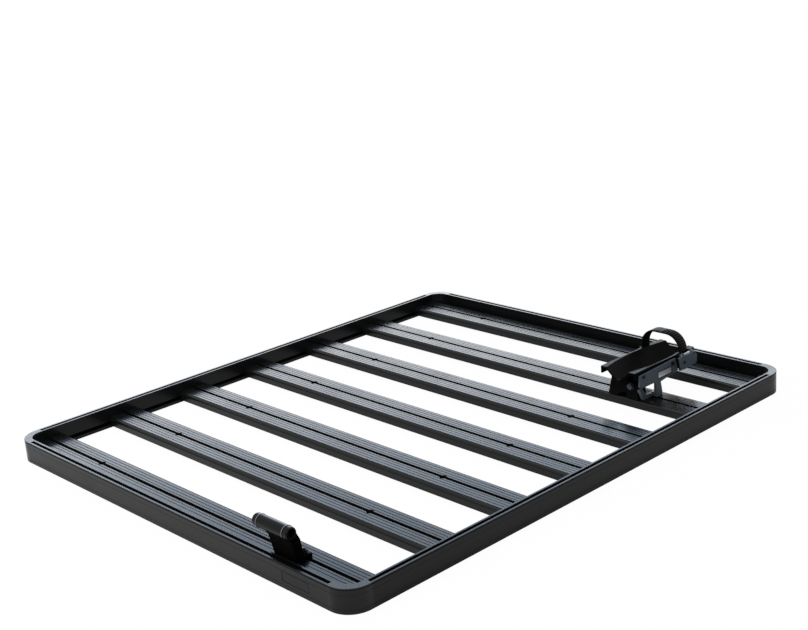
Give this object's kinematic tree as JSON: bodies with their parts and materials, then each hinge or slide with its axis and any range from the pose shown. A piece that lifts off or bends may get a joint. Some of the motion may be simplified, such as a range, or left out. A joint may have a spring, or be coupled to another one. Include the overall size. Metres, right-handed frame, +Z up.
{
  "type": "roof mounted bike carrier",
  "caption": "Flat slatted roof tray with rounded corners, a sliding fork-axle mount at the front and a sliding rear wheel cradle with a ratchet ladder strap.",
  "frame": {"origin": "middle of the tray in plan, on the plane of the rails' undersides", "axes": "+X across the vehicle towards the side the bicycle is on, +Y from the fork mount's end to the wheel holder's end, +Z up"},
  "size_m": [1.14, 1.352, 0.1496],
  "materials": {
    "coated_aluminium": "black powder coat, fine texture",
    "cast_corner": "black powder coat, coarse texture",
    "coated_casting": "black powder coat, satin",
    "black_anodised": "black anodised",
    "black_nylon": "moulded, fine grain",
    "strap_elastomer": "smooth moulded",
    "grey_coated_steel": "dark grey powder coat",
    "black_coated_steel": "black powder coat",
    "badge": "plain anodised plate",
    "label": "plain brushed plate",
    "zinc_steel": "bright zinc plate",
    "black_oxide_steel": "black oxide, oiled"
  },
  "bodies": {
    "tray": {"front_rail": "coated_aluminium", "rear_rail": "coated_aluminium", "left_rail": "coated_aluminium", "right_rail": "coated_aluminium", "corner_front_left": "cast_corner", "corner_front_right": "cast_corner", "corner_rear_left": "cast_corner", "corner_rear_right": "cast_corner", "slat_1": "coated_aluminium", "slat_2": "coated_aluminium", "slat_3": "coated_aluminium", "slat_4": "coated_aluminium", "slat_5": "coated_aluminium", "slat_6": "coated_aluminium", "slat_7": "coated_aluminium", "slat_screws": "black_oxide_steel", "corner_set_screws": "black_oxide_steel", "badge_plate": "badge"},
    "fork_mount": {"fork_bracket": "coated_casting", "fork_barrel": "coated_casting", "adapter_left": "black_anodised", "adapter_right": "black_anodised", "barrel_rings": "zinc_steel", "fork_bolts": "black_oxide_steel", "fork_washers": "black_oxide_steel", "fork_nuts": "black_oxide_steel"},
    "wheel_holder": {"holder_base": "black_nylon", "clamp_bolt": "black_oxide_steel", "holder_bolts": "black_oxide_steel", "holder_washers": "black_oxide_steel", "holder_nuts": "black_oxide_steel", "wheel_cradle": "black_nylon", "cradle_screws": "black_oxide_steel", "side_bracket": "grey_coated_steel", "bracket_screws": "black_oxide_steel", "label_plate": "label", "buckle_frame": "black_coated_steel", "buckle_screws": "black_oxide_steel", "lever_pin": "zinc_steel", "lock_pin": "zinc_steel", "lock_spring": "zinc_steel", "strap": "strap_elastomer", "strap_anchor": "black_coated_steel", "anchor_pin": "zinc_steel", "anchor_screws": "black_oxide_steel"},
    "ratchet_lever": {"ratchet_lever": "grey_coated_steel", "drive_pin": "zinc_steel", "drive_spring": "zinc_steel"},
    "drive_pawl": {"drive_pawl": "zinc_steel"},
    "lock_pawl": {"lock_pawl": "zinc_steel"}
  },
  "joints": [
    {"name": "fork_mount_slide", "type": "slide", "parent": "tray", "child": "fork_mount", "axis": [1, 0, 0], "range_m": [-0.85, 0.15]},
    {"name": "wheel_holder_slide", "type": "slide", "parent": "tray", "child": "wheel_holder", "axis": [1, 0, 0], "range_m": [-0.85, 0.14]},
    {"name": "ratchet_lever_swing", "type": "hinge", "parent": "wheel_holder", "child": "ratchet_lever", "pos_m": [0.4135, 0.511, 0.103], "axis": [0, -1, 0], "range_deg": [0, 110]},
    {"name": "drive_pawl_swing", "type": "hinge", "parent": "ratchet_lever", "child": "drive_pawl", "pos_m": [0.413, 0.511, 0.0945], "axis": [0, 1, 0], "range_deg": [0, 12], "stiffness_Nm_per_rad": 0.02, "springref_deg": -17.19},
    {"name": "lock_pawl_swing", "type": "hinge", "parent": "wheel_holder", "child": "lock_pawl", "pos_m": [0.412, 0.511, 0.0765], "axis": [0, 1, 0], "range_deg": [0, 18], "stiffness_Nm_per_rad": 0.03, "springref_deg": -17.19}
  ]
}
